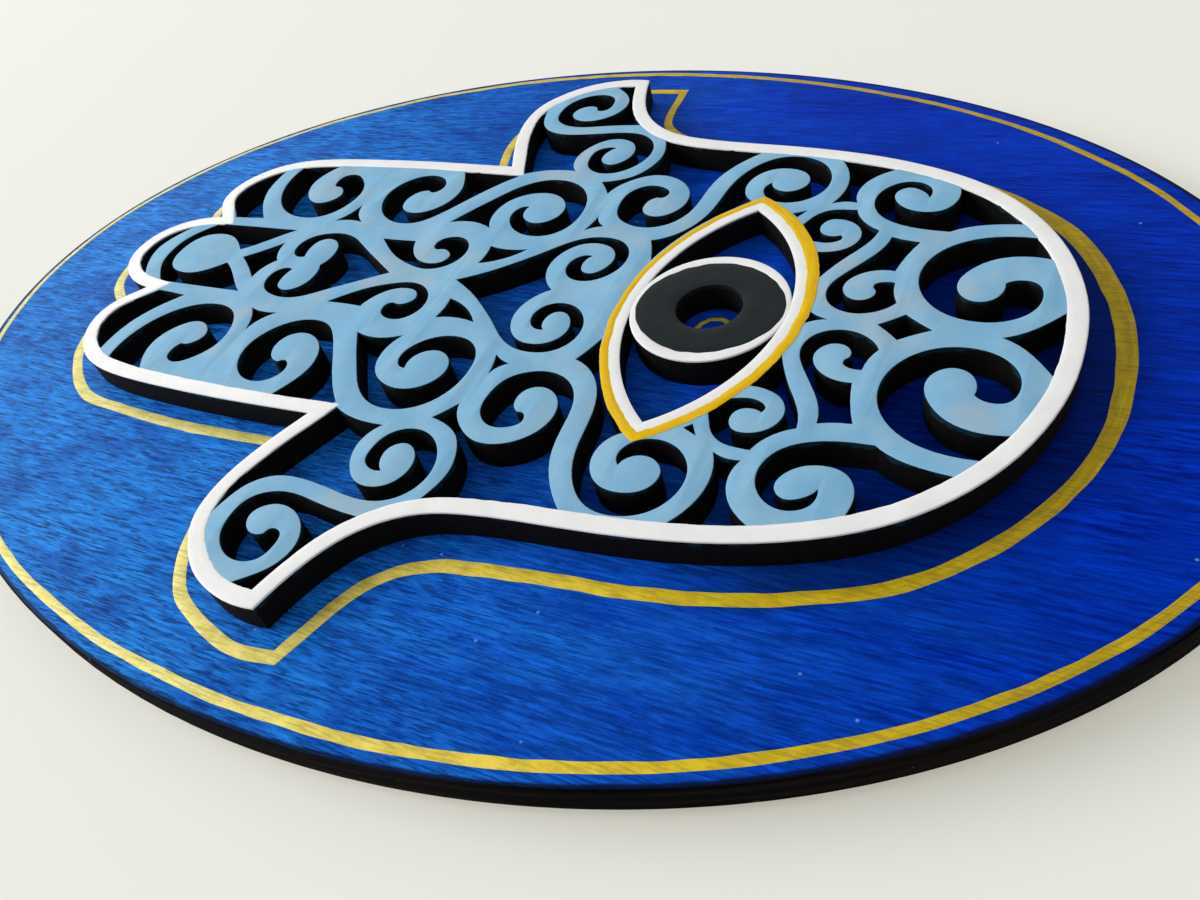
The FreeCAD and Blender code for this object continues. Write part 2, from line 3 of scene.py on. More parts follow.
import bpy
import bmesh
import numpy as np
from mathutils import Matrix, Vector


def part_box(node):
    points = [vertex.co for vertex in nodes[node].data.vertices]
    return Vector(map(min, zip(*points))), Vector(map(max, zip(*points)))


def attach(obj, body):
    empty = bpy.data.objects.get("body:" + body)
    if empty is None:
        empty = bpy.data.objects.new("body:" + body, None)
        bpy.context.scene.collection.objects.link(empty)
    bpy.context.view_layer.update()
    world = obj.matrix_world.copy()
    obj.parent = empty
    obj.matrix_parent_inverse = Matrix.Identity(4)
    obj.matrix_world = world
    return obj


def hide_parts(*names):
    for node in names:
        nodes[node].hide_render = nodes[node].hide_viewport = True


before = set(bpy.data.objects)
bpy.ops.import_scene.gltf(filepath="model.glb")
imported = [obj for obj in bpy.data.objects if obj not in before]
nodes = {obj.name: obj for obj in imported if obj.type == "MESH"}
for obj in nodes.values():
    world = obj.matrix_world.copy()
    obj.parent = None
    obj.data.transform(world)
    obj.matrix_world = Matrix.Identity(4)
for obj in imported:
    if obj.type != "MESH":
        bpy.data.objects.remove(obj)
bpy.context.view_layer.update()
MM = 0.001

# Backboard: an oval of plywood, cut with a jigsaw and sanded. Its face is stained ultramarine along the grain,
# which runs lengthways, and varnished satin. Its edge is painted black, and its back is left bare.

board_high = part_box("backboard")[1]
board_top = board_high.z


def new_material(name):
    """A material with only an output, and its tree."""
    material = bpy.data.materials.new(name)
    material.use_nodes = True
    tree = material.node_tree
    tree.nodes.clear()
    return material, tree


def add(tree, kind, inputs=None, **settings):
    """One node, with its settings and its inputs. An input that is a socket is linked, anything else is set."""
    node = tree.nodes.new(kind)
    for name, value in settings.items():
        setattr(node, name, value)
    for name, value in (inputs or {}).items():
        if isinstance(value, bpy.types.NodeSocket):
            tree.links.new(value, node.inputs[name])
        else:
            node.inputs[name].default_value = value
    return node


def math_node(tree, operation, first, second):
    """The result of one sum on two sockets or numbers."""
    return add(tree, "ShaderNodeMath", {0: first, 1: second}, operation=operation).outputs[0]


def ramp(tree, value, low, high, start=0.0, end=1.0):
    """A smooth step of a value: start below low, end above high."""
    return add(tree, "ShaderNodeMapRange", {"Value": value, "From Min": low, "From Max": high,
                                            "To Min": start, "To Max": end},
               interpolation_type="SMOOTHSTEP").outputs["Result"]


def mix(tree, factor, first, second):
    """Two colours mixed by a mask."""
    node = add(tree, "ShaderNodeMix", {0: factor}, data_type="RGBA")
    first_colour, second_colour, mixed = node.inputs[6], node.inputs[7], node.outputs[2]
    for socket, value in ((first_colour, first), (second_colour, second)):
        if isinstance(value, bpy.types.NodeSocket):
            tree.links.new(value, socket)
        else:
            socket.default_value = (*value, 1.0)
    return mixed


def noise(tree, vector, scale, detail=4.0, roughness=0.55, distortion=0.0):
    """Plain fractal noise, from 0 to 1."""
    return add(tree, "ShaderNodeTexNoise", {"Vector": vector, "Scale": scale, "Detail": detail,
                                            "Roughness": roughness, "Distortion": distortion}).outputs["Fac"]


def stretched(tree, vector, scale):
    """The coordinates stretched along the axes by these factors."""
    return add(tree, "ShaderNodeMapping", {"Vector": vector, "Scale": scale}).outputs["Vector"]


def finish_material(tree, surface, height=None, strength=1.0, distance=0.0001):
    """The surface to the output, with a bump where a height is given."""
    if height is not None:
        bump = add(tree, "ShaderNodeBump", {"Height": height, "Strength": strength, "Distance": distance})
        tree.links.new(bump.outputs["Normal"], surface.inputs["Normal"])
    output = add(tree, "ShaderNodeOutputMaterial")
    tree.links.new(surface.outputs[0], output.inputs["Surface"])


def paint(node, material):
    """The one material of a piece, in every slot."""
    node.data.materials.clear()
    node.data.materials.append(material)
    node.data.polygons.foreach_set("material_index", np.zeros(len(node.data.polygons), np.int32))


def board_wood_group():
    """The board's wood. Its grain runs along Y and is noise stretched along it: fine pores, long streaks and broad
    bands. Its height is half the streaks less the pores. Fingerwards is how far a point lies towards the fingers
    and the board's left, Y - 0.45 X in metres."""
    group = bpy.data.node_groups.new("board wood", "ShaderNodeTree")
    for name in ("Pores", "Streaks", "Bands", "Height", "Fingerwards"):
        group.interface.new_socket(name, in_out="OUTPUT", socket_type="NodeSocketFloat")
    group.interface.new_socket("Vector", in_out="INPUT", socket_type="NodeSocketVector")
    place = add(group, "NodeGroupInput").outputs["Vector"]
    pores = noise(group, stretched(group, place, (2600, 210, 300)), 1.0, 4.0, 0.62, 0.3)
    pores = ramp(group, pores, 0.47, 0.62)
    streaks = noise(group, stretched(group, place, (1500, 120, 150)), 1.0, 5.0, 0.72, 0.4)
    bands = noise(group, stretched(group, place, (90, 9, 20)), 1.0, 4.0, 0.6, 0.5)
    height = math_node(group, "SUBTRACT", math_node(group, "MULTIPLY", streaks, 0.5), pores)
    parts = add(group, "ShaderNodeSeparateXYZ", {"Vector": place}).outputs
    fingerwards = math_node(group, "SUBTRACT", parts["Y"], math_node(group, "MULTIPLY", parts["X"], 0.45))
    add(group, "NodeGroupOutput", {"Pores": pores, "Streaks": streaks, "Bands": bands, "Height": height,
                                   "Fingerwards": fingerwards})
    return group


board_wood = board_wood_group()


def stained_plywood():
    """Blue stain on the face, black paint on the edge, bare birch on the back, told apart by the normal."""
    material, tree = new_material("stained_plywood")
    place = add(tree, "ShaderNodeTexCoord").outputs["Object"]
    wood = add(tree, "ShaderNodeGroup", {"Vector": place}, node_tree=board_wood).outputs
    deep = (0.0003, 0.008, 0.20)
    bright = (0.0003, 0.044, 0.66)
    # the paler blue below is a painted sheen, the window's glare on the fingers' end of the board
    sheen_blue = (0.026, 0.34, 1.0)
    pore = (0.0005, 0.004, 0.08)
    tone = ramp(tree, wood["Streaks"], 0.36, 0.66)
    blue = mix(tree, tone, deep, bright)
    blue = mix(tree, ramp(tree, wood["Bands"], 0.35, 0.65, 0.0, 0.4), blue, (0.0005, 0.026, 0.31))
    # painted sheen: the window's reflection on the varnish, painted as paler blue towards the fingers and the
    # board's left, strongest on the brighter streaks
    painted_sheen_mask = math_node(tree, "ADD", wood["Fingerwards"], math_node(tree, "MULTIPLY", wood["Bands"], 0.08))
    painted_sheen_mask = math_node(tree, "MULTIPLY", ramp(tree, painted_sheen_mask, -0.07, 0.17),
                     ramp(tree, wood["Streaks"], 0.34, 0.66, 0.42, 1.0))
    clouds = noise(tree, stretched(tree, place, (34, 13, 20)), 1.0, 4.0, 0.6, 0.4)
    clouds = ramp(tree, clouds, 0.46, 0.70, 0.0, 0.4)
    blue = mix(tree, clouds, blue, (0.0003, 0.058, 0.72))
    blue = mix(tree, painted_sheen_mask, blue, sheen_blue)
    blotches = noise(tree, stretched(tree, place, (90, 55, 50)), 1.0, 6.0, 0.72)
    blotches = ramp(tree, blotches, 0.42, 0.66, 0.0, 0.5)
    blue = mix(tree, blotches, blue, (0.0003, 0.022, 0.33))
    # the pores show more where the painted sheen is
    pore_depth = math_node(tree, "MULTIPLY", wood["Pores"], ramp(tree, painted_sheen_mask, 0.0, 0.5, 0.22, 0.7))
    blue = mix(tree, pore_depth, blue, pore)
    # painted shadow: the panel's shadow, darker blue on the board between the wrist, an arc of 57 mm about (0, -57),
    # and the gold line
    round_wrist = add(tree, "ShaderNodeVectorMath", {0: place, 1: (0, -0.057, board_top)}, operation="DISTANCE")
    edge = math_node(tree, "ADD", round_wrist.outputs["Value"], math_node(tree, "MULTIPLY", wood["Bands"], 0.003))
    along = add(tree, "ShaderNodeSeparateXYZ", {"Vector": place}).outputs["Y"]
    painted_wrist_shadow = math_node(tree, "MULTIPLY", ramp(tree, edge, 0.0665, 0.0640), ramp(tree, along, -0.055, -0.080))
    blue = mix(tree, math_node(tree, "MULTIPLY", painted_wrist_shadow, 0.6), blue, (0.0004, 0.006, 0.045))
    specks = add(tree, "ShaderNodeTexVoronoi", {"Vector": place, "Scale": 120.0}).outputs["Distance"]
    dust = ramp(tree, specks, 0.045, 0.02)
    blue = mix(tree, math_node(tree, "MULTIPLY", dust, 0.5), blue, (0.25, 0.42, 0.7))
    # edge: black paint, thinner on every other ply, with a few small chips
    chips = ramp(tree, noise(tree, place, 420.0, 3.0, 0.6), 0.70, 0.73)
    plies = ramp(tree, noise(tree, stretched(tree, place, (20, 20, 800)), 1.0, 3.0, 0.6), 0.46, 0.60)
    black = mix(tree, plies, (0.002, 0.0018, 0.0018), (0.011, 0.007, 0.006))
    black = mix(tree, chips, black, (0.08, 0.05, 0.04))
    # back: bare birch, its grain and pores unstained
    birch = mix(tree, ramp(tree, wood["Streaks"], 0.3, 0.7), (0.52, 0.36, 0.21), (0.66, 0.50, 0.32))
    birch = mix(tree, math_node(tree, "MULTIPLY", wood["Pores"], 0.5), birch, (0.30, 0.19, 0.10))
    normal = add(tree, "ShaderNodeNewGeometry").outputs["True Normal"]
    up = add(tree, "ShaderNodeSeparateXYZ", {"Vector": normal}).outputs["Z"]
    on_face = ramp(tree, up, 0.80, 0.90)
    on_back = ramp(tree, up, -0.85, -0.95)
    # the edge's black reaches a little way over the face: r = |(x / a, y / b)| above 0.993, unevenly
    on_oval = stretched(tree, place, (1 / board_high.x, 1 / board_high.y, 0))
    span = add(tree, "ShaderNodeVectorMath", {0: on_oval}, operation="LENGTH").outputs["Value"]
    uneven = math_node(tree, "MULTIPLY", noise(tree, place, 160.0, 4.0, 0.6), 0.008)
    over = ramp(tree, math_node(tree, "ADD", span, uneven), 0.993, 0.998)
    blue = mix(tree, math_node(tree, "MULTIPLY", over, 0.9), blue, (0.004, 0.005, 0.012))
    colour = mix(tree, on_face, black, blue)
    colour = mix(tree, on_back, colour, birch)
    surface = add(tree, "ShaderNodeBsdfPrincipled", {
        "Base Color": colour, "Roughness": ramp(tree, on_face, 0.0, 1.0, 0.85, 0.42), "Specular IOR Level": 0.025})
    surface.inputs["Specular Tint"].default_value = (0.18, 0.78, 1.0, 1.0)
    finish_material(tree, surface, wood["Height"], 0.3, 0.0001)
    return material


paint(nodes["backboard"], stained_plywood())

# Hamsa panel: one sheet of fibreboard, cut by a laser, which leaves its walls charred black. The face is
# brushed light blue, and a little of the paint has run over the edges. It is glued flat on the board.

panel_low, panel_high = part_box("hamsa_panel")
EASED_EDGE = 0.18 * MM
MERGED = 1e-7


def face_outlines(node):
    """The closed outlines of a node's top face, longest first: a copy of it is merged, all but the border of the
    top is deleted, and the border is turned into curves, whose points come back as arrays."""
    sheet = bmesh.new()
    sheet.from_mesh(node.data)
    bmesh.ops.remove_doubles(sheet, verts=sheet.verts, dist=MERGED)
    top = max(vertex.co.z for vertex in sheet.verts) - 0.01 * MM
    lower = [face for face in sheet.faces if face.calc_center_median().z < top]
    bmesh.ops.delete(sheet, geom=lower, context="FACES")
    inner = [edge for edge in sheet.edges if len(edge.link_faces) != 1]
    bmesh.ops.delete(sheet, geom=inner, context="EDGES")
    mesh = bpy.data.meshes.new("outlines")
    sheet.to_mesh(mesh)
    sheet.free()
    scratch = bpy.data.objects.new("outlines", mesh)
    bpy.context.scene.collection.objects.link(scratch)
    bpy.ops.object.select_all(action="DESELECT")
    bpy.context.view_layer.objects.active = scratch
    scratch.select_set(True)
    bpy.ops.object.convert(target="CURVE")
    outlines = []
    for spline in scratch.data.splines:
        points = np.empty(4 * len(spline.points))
        spline.points.foreach_get("co", points)
        outlines.append(points.reshape(-1, 4)[:, :2])
    bpy.data.objects.remove(scratch)
    return sorted(outlines, key=lambda outline: -np.linalg.norm(np.diff(outline, axis=0), axis=1).sum())


outlines = face_outlines(nodes["hamsa_panel"])


def eased_sheet(name, outlines, bottom, top, ease):
    """A sheet between two heights inside the outlines, with all its edges rounded by the ease: a flat curve, made
    smaller, extruded and bevelled by it."""
    curve = bpy.data.curves.new(name, "CURVE")
    curve.dimensions = "2D"
    curve.fill_mode = "BOTH"
    curve.extrude = (top - bottom) / 2 - ease
    curve.bevel_depth = ease
    curve.bevel_resolution = 2
    curve.offset = -ease
    for outline in outlines:
        spline = curve.splines.new("POLY")
        spline.points.add(len(outline) - 1)
        flat = np.zeros((len(outline), 4))
        flat[:, :2] = outline
        flat[:, 3] = 1
        spline.points.foreach_set("co", flat.ravel())
        spline.use_cyclic_u = True
    scratch = bpy.data.objects.new(name, curve)
    bpy.context.scene.collection.objects.link(scratch)
    mesh = bpy.data.meshes.new_from_object(scratch.evaluated_get(bpy.context.evaluated_depsgraph_get()))
    bpy.data.objects.remove(scratch)
    points = np.empty(3 * len(mesh.vertices))
    mesh.vertices.foreach_get("co", points)
    points[2::3] += (top + bottom) / 2
    mesh.vertices.foreach_set("co", points)
    sheet = bmesh.new()
    sheet.from_mesh(mesh)
    bmesh.ops.remove_doubles(sheet, verts=sheet.verts, dist=MERGED)
    bmesh.ops.recalc_face_normals(sheet, faces=sheet.faces)
    sheet.to_mesh(mesh)
    sheet.free()
    mesh.shade_smooth()
    mesh.set_sharp_from_angle(angle=math.radians(40))
    piece = bpy.data.objects.new(name, mesh)
    bpy.context.scene.collection.objects.link(piece)
    return piece


painted_hand = eased_sheet("painted_hand", outlines, panel_low.z, panel_high.z, EASED_EDGE)


def painted_fibreboard():
    """Light blue on the face, a little uneven, with faint grey patches, and charred black on the walls, where
    the blue has run down by an uneven length below the top edge."""
    material, tree = new_material("painted_fibreboard")
    place = add(tree, "ShaderNodeTexCoord").outputs["Object"]
    height = add(tree, "ShaderNodeSeparateXYZ", {"Vector": place}).outputs["Z"]
    normal = add(tree, "ShaderNodeNewGeometry").outputs["Normal"]
    up = add(tree, "ShaderNodeSeparateXYZ", {"Vector": normal}).outputs["Z"]
    grit = noise(tree, place, 1100.0, 4.0, 0.65)
    mottle = noise(tree, place, 110.0, 5.0, 0.65)
    blue = mix(tree, ramp(tree, mottle, 0.38, 0.66), (0.215, 0.455, 0.675), (0.270, 0.500, 0.690))
    patches = ramp(tree, noise(tree, place, 42.0, 3.0, 0.6), 0.56, 0.70, 0.0, 0.6)
    blue = mix(tree, patches, blue, (0.38, 0.48, 0.56))
    char = mix(tree, noise(tree, stretched(tree, place, (700, 700, 60)), 1.0, 3.0), (0.001, 0.001, 0.001),
               (0.006, 0.0055, 0.0055))
    depth = math_node(tree, "SUBTRACT", panel_high.z, height)
    run = noise(tree, stretched(tree, place, (260, 260, 40)), 1.0, 3.0, 0.6)
    reach = ramp(tree, run, 0.35, 0.75, 0.0001, 0.0016)
    bled = math_node(tree, "MULTIPLY", math_node(tree, "LESS_THAN", depth, reach), 0.45)
    wall = mix(tree, bled, char, (0.008, 0.05, 0.085))
    on_face = ramp(tree, up, 0.55, 0.75)
    colour = mix(tree, on_face, wall, blue)
    roughness = mix(tree, on_face, (0.8,) * 3, (0.6,) * 3)
    surface = add(tree, "ShaderNodeBsdfPrincipled", {"Base Color": colour, "Roughness": roughness})
    surface.inputs["Specular IOR Level"].default_value = 0.08
    finish_material(tree, surface, grit, 0.15, 0.00005)
    return material


paint(painted_hand, painted_fibreboard())
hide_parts("hamsa_panel")
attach(painted_hand, "root")

# White rim: a thick line of white acrylic, brushed round the top of the hand's outer edge. It laps a little way
# down the walls on both sides, its outer edge is even, and its inner edge wanders as a brush does.

RIM_WIDTH = 3.3 * MM
FILM = 0.06 * MM
STROKE_STEP = 0.5 * MM


def resampled(line, step):
    """A polyline's points at even steps of its length."""
    reach = np.r_[0, np.cumsum(np.linalg.norm(np.diff(line, axis=0), axis=1))]
    even = np.linspace(0, reach[-1], max(2, int(round(reach[-1] / step)) + 1))
    return np.c_[np.interp(even, reach, line[:, 0]), np.interp(even, reach, line[:, 1])]


def turned(vectors):
    """Flat vectors turned a quarter to the left."""
    return np.stack([-vectors[..., 1], vectors[..., 0]], -1)


def sides_of(outline, corner=25):
    """A closed outline, run so that its inside is on the left, cut at corners sharper than this many degrees."""
    area = np.sum(outline[:, 0] * np.roll(outline[:, 1], -1) - np.roll(outline[:, 0], -1) * outline[:, 1])
    outline = outline if area > 0 else outline[::-1]
    ahead = np.roll(outline, -1, axis=0) - outline
    ahead /= np.linalg.norm(ahead, axis=1)[:, None]
    behind = np.roll(ahead, 1, axis=0)
    corners = np.flatnonzero(np.sum(ahead * behind, axis=1) < math.cos(math.radians(corner)))
    if len(corners) == 0:
        return [np.vstack([outline, outline[:1]])]
    outline = np.roll(outline, -corners[0], axis=0)
    ends = np.r_[corners - corners[0], len(outline)]
    outline = np.vstack([outline, outline[:1]])
    return [outline[first:last + 1] for first, last in zip(ends[:-1], ends[1:])]


def half_bend(first, second):
    """The tangent of half the angle from one direction to the next, to the left."""
    return (first[0] * second[1] - first[1] * second[0]) / (1 + first @ second)


def band(sides, offsets):
    """Rows of points beside a closed outline of sides, one column per distance to the left of it. Each point is
    P(s) + d N(s), where s runs from a corner's mitre line to the next one's: a side is shortened at a corner that
    bends towards the band and carried straight on at one that bends away, by d times the tangent of half the
    bend. The mitred corner itself is P + d (N1 + N2) / (1 + N1 . N2)."""
    sides = [resampled(side, STROKE_STEP) for side in sides]
    closed = len(sides) == 1
    normals = []
    for side in sides:
        ahead = np.diff(side, axis=0)
        ahead /= np.linalg.norm(ahead, axis=1)[:, None]
        if closed:
            middle = ahead + np.roll(ahead, 1, axis=0)
            along = np.vstack([middle, middle[:1]])
        else:
            along = np.vstack([ahead[:1], ahead[:-1] + ahead[1:], ahead[-1:]])
        normals.append(turned(along / np.linalg.norm(along, axis=1)[:, None]))
    if closed:
        return sides[0][:-1, None] + normals[0][:-1, None] * offsets[None, :, None]
    rows = []
    for number, (side, normal) in enumerate(zip(sides, normals)):
        before, after = normals[number - 1][-1], normals[(number + 1) % len(sides)][0]
        reach = np.r_[0, np.cumsum(np.linalg.norm(np.diff(side, axis=0), axis=1))]
        start = offsets * half_bend(before, normal[0])
        end = reach[-1] - offsets * half_bend(normal[-1], after)
        share = np.linspace(0, 1, len(side))[:, None]
        at = start[None] + share * (end - start)[None]
        held = np.clip(at, 0, reach[-1])
        point = np.stack([np.interp(held, reach, side[:, axis]) for axis in (0, 1)], -1)
        aside = np.stack([np.interp(held, reach, normal[:, axis]) for axis in (0, 1)], -1)
        aside /= np.linalg.norm(aside, axis=-1)[..., None]
        point = point - (at - held)[..., None] * turned(aside) + offsets[None, :, None] * aside
        corner = side[0] + offsets[:, None] * (before + normal[0]) / (1 + before @ normal[0])
        rows.append(np.concatenate([corner[None], point[1:-1]]))
    return np.concatenate(rows)


def wobble(count, spread, waves, seed):
    """A closed run of smooth random numbers: sines of random phase, from 1 to this many waves round the run."""
    chance = np.random.default_rng(seed)
    turns = np.arange(1, waves + 1)
    phases = chance.uniform(0, 2 * np.pi, waves)
    strengths = chance.normal(0, 1, waves) / np.sqrt(waves)
    along = np.linspace(0, 2 * np.pi, count, endpoint=False)[:, None]
    return spread * np.sum(strengths * np.sin(along * turns + phases), axis=1)


def ring_mesh(name, points, material, stroke=None):
    """A closed ring of paint: rows of points round the ring, each row itself a closed loop, joined by quads.
    stroke gives the place of each quad's corners on the brush stroke."""
    count, width = points.shape[:2]
    index = np.arange(count * width).reshape(count, width)
    ahead = np.roll(index, -1, axis=0)
    quads = np.stack([index, ahead, np.roll(ahead, -1, axis=1), np.roll(index, -1, axis=1)], -1)
    mesh = bpy.data.meshes.new(name)
    mesh.from_pydata(points.reshape(-1, 3), [], quads.reshape(-1, 4))
    if stroke is not None:
        mesh.uv_layers.new(name="stroke").data.foreach_set("uv", stroke.ravel())
    sheet = bmesh.new()
    sheet.from_mesh(mesh)
    bmesh.ops.recalc_face_normals(sheet, faces=sheet.faces)
    sheet.to_mesh(mesh)
    sheet.free()
    mesh.shade_smooth()
    mesh.set_sharp_from_angle(angle=math.radians(60))
    piece = bpy.data.objects.new(name, mesh)
    bpy.context.scene.collection.objects.link(piece)
    paint(piece, material)
    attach(piece, "root")
    return piece


def stroke_places(rows):
    """The place on the stroke of the four corners of each quad: metres along the line, and the share of the way
    across it."""
    row, column = np.indices(rows.shape[:2])
    length = np.r_[0, np.cumsum(np.linalg.norm(np.diff(rows[:, 0], axis=0), axis=1))]
    length = np.r_[length, length[-1] + STROKE_STEP]
    across = np.linspace(0, 1, rows.shape[1])
    across = np.r_[across, 1 + across[1]]
    corner_rows = np.stack([row, row + 1, row + 1, row], -1).reshape(-1)
    corner_columns = np.stack([column, column, column + 1, column + 1], -1).reshape(-1)
    return np.stack([length[corner_rows], across[corner_columns]], -1)


def paint_line(name, sides, profile, base, material, shift=None):
    """A line of paint along a closed outline: a profile of (distance, height) pairs carried round it. shift, where
    given, says how far each point moves further to the left, for its row and its distance."""
    distances, heights = np.array(profile).T
    rows = band(sides, distances)
    if shift is not None:
        hair = 0.1 * MM
        centre = band(sides, np.array([0.0, hair]))
        aside = (centre[:, 1] - centre[:, 0]) / hair
        rows = rows + shift(len(rows), distances)[..., None] * aside[:, None]
    levels = np.broadcast_to(base + heights, rows.shape[:2])
    return ring_mesh(name, np.concatenate([rows, levels[..., None]], -1), material, stroke_places(rows))


def brushed_acrylic(name, colour, shade, roughness=0.38, gloss=0.3):
    """Opaque acrylic with a slightly uneven tone and the fine unevenness that a brush leaves."""
    material, tree = new_material(name)
    place = add(tree, "ShaderNodeTexCoord").outputs["Object"]
    tone = noise(tree, place, 180.0, 4.0, 0.6)
    body = mix(tree, ramp(tree, tone, 0.3, 0.75), colour, shade)
    surface = add(tree, "ShaderNodeBsdfPrincipled", {"Base Color": body, "Roughness": roughness})
    surface.inputs["Specular IOR Level"].default_value = gloss
    finish_material(tree, surface, noise(tree, place, 700.0, 3.0, 0.6), 0.25, 0.00006)
    return material


white_acrylic = brushed_acrylic("white_acrylic", (0.91, 0.91, 0.90), (0.84, 0.84, 0.84))
hand_sides = sides_of(outlines[0])
rim_profile = [(-0.09 * MM, -0.32 * MM), (-0.09 * MM, -0.12 * MM), (-0.03 * MM, 0.02 * MM), (0.2 * MM, FILM),
               (1.2 * MM, FILM), (2.2 * MM, FILM), (RIM_WIDTH - 0.2 * MM, FILM), (RIM_WIDTH + 0.02 * MM, 0.01 * MM),
               (RIM_WIDTH + 0.06 * MM, -0.12 * MM), (RIM_WIDTH + 0.06 * MM, -0.3 * MM), (1.6 * MM, -0.5 * MM)]


def inner_edge_shift(count, distances):
    """A brushed line's uneven inner edge: its wander grows as the square of the distance from the outer one."""
    wander = wobble(count, 0.05 * MM, 60, 51) + wobble(count, 0.03 * MM, 260, 52)
    return wander[:, None] * (np.clip(distances, 0, RIM_WIDTH) / RIM_WIDTH)[None] ** 2


paint_line("white_rim", hand_sides, rim_profile, panel_high.z, white_acrylic,
           inner_edge_shift)

# Eye: its frame and pupil are part of the same cut sheet. The frame is painted white with a gold line along its
# outer edge, and the pupil is charcoal inside a white ring that runs into the frame above and below.

EYE_MIDDLE = np.array([0, -47.2]) * MM
EYE_HALF_LENGTH = 37.3 * MM
EYE_HALF_HEIGHT = 19.5 * MM
EYE_TIP_RISE = 0.8 * MM
EYE_FRAME = 3.9 * MM
EYE_GOLD = 1.8 * MM
PUPIL = 15.8 * MM
PUPIL_HOLE = 6.7 * MM


def almond(steps=160):
    """The eye's outline as two sides: the arcs through both tips and the top, and through both tips and the
    bottom, each of radius (a^2 + h^2) / 2h for half its chord a and its rise h."""
    sides = []
    for way in (-1, 1):
        rise = EYE_HALF_HEIGHT - way * EYE_TIP_RISE
        radius = (EYE_HALF_LENGTH ** 2 + rise ** 2) / (2 * rise)
        spread = math.asin(EYE_HALF_LENGTH / radius)
        angle = np.linspace(-spread, spread, steps) * -way
        arc = np.stack([radius * np.sin(angle), way * (EYE_HALF_HEIGHT - radius + radius * np.cos(angle))], -1)
        sides.append(arc + EYE_MIDDLE)
    return sides


def circle(radius, middle, steps=240):
    """A closed circle as one side, run anticlockwise."""
    angle = np.linspace(0, 2 * np.pi, steps + 1)
    return [np.stack([np.cos(angle), np.sin(angle)], -1) * radius + middle]


def flat_line(inner, outer, thickness):
    """The profile of a line of paint that lies on a face: rounded edges, and an underside just below the face."""
    ease = 0.15 * MM
    return [(inner, -0.05 * MM), (inner, thickness / 2), (inner + ease, thickness), ((inner + outer) / 2, thickness),
            (outer - ease, thickness), (outer, thickness / 2), (outer, -0.05 * MM)]


eye_white = [(EYE_GOLD - 0.3 * MM, -0.1 * MM), (EYE_GOLD - 0.3 * MM, 0.02 * MM), (EYE_GOLD, FILM),
             ((EYE_GOLD + EYE_FRAME) / 2, FILM), (EYE_FRAME - 0.15 * MM, FILM), (EYE_FRAME + 0.04 * MM, 0),
             (EYE_FRAME + 0.06 * MM, -0.15 * MM), (EYE_FRAME + 0.06 * MM, -0.35 * MM),
             (EYE_FRAME - 1 * MM, -0.4 * MM)]
paint_line("eye_white_line", almond(), eye_white, panel_high.z, white_acrylic)
ring_white = [(-0.06 * MM, -0.35 * MM), (-0.06 * MM, -0.12 * MM), (0, 0.02 * MM), (0.2 * MM, FILM), (1.2 * MM, FILM),
              (2.4 * MM, FILM), (2.6 * MM, -0.1 * MM), (1 * MM, -0.4 * MM)]
paint_line("pupil_white_ring", circle(PUPIL, EYE_MIDDLE), ring_white, panel_high.z, white_acrylic)


def pupil_disc(steps=240):
    """The painted pupil: a flat ring from the hole to an edge that is a circle at the sides and reaches nearly
    to the frame above and below, r(a) = 13.6 + 1.4 |sin a|^4 mm, rounded into the hole."""
    angle = np.linspace(0, 2 * np.pi, steps, endpoint=False)
    edge = (13.6 + 1.4 * np.abs(np.sin(angle)) ** 4) * MM + wobble(steps, 0.08 * MM, 24, 5)
    hole = PUPIL_HOLE - 0.02 * MM
    round_in = 0.2 * MM
    share = np.array([0, 0.3, 0.7, 0.985, 1, 1])
    lift = np.array([0, 0, 0, 0, -0.03, -0.15]) * MM + 0.1 * MM
    radius = hole + round_in + share[None] * (edge[:, None] - hole - round_in)
    radius = np.concatenate([np.full((steps, 3), hole), radius, np.full((steps, 1), PUPIL_HOLE + 2 * MM)], 1)
    height = np.concatenate([np.array([-0.9, -0.3, 0.02]) * MM, lift, np.array([-0.2 * MM])])
    return np.stack([radius * np.cos(angle)[:, None] + EYE_MIDDLE[0],
                     radius * np.sin(angle)[:, None] + EYE_MIDDLE[1],
                     np.broadcast_to(panel_high.z + height, radius.shape)], -1)


charcoal_acrylic = brushed_acrylic("charcoal_acrylic", (0.009, 0.014, 0.016), (0.013, 0.019, 0.022), 0.35, 0.11)
ring_mesh("painted_pupil", pupil_disc(), charcoal_acrylic)


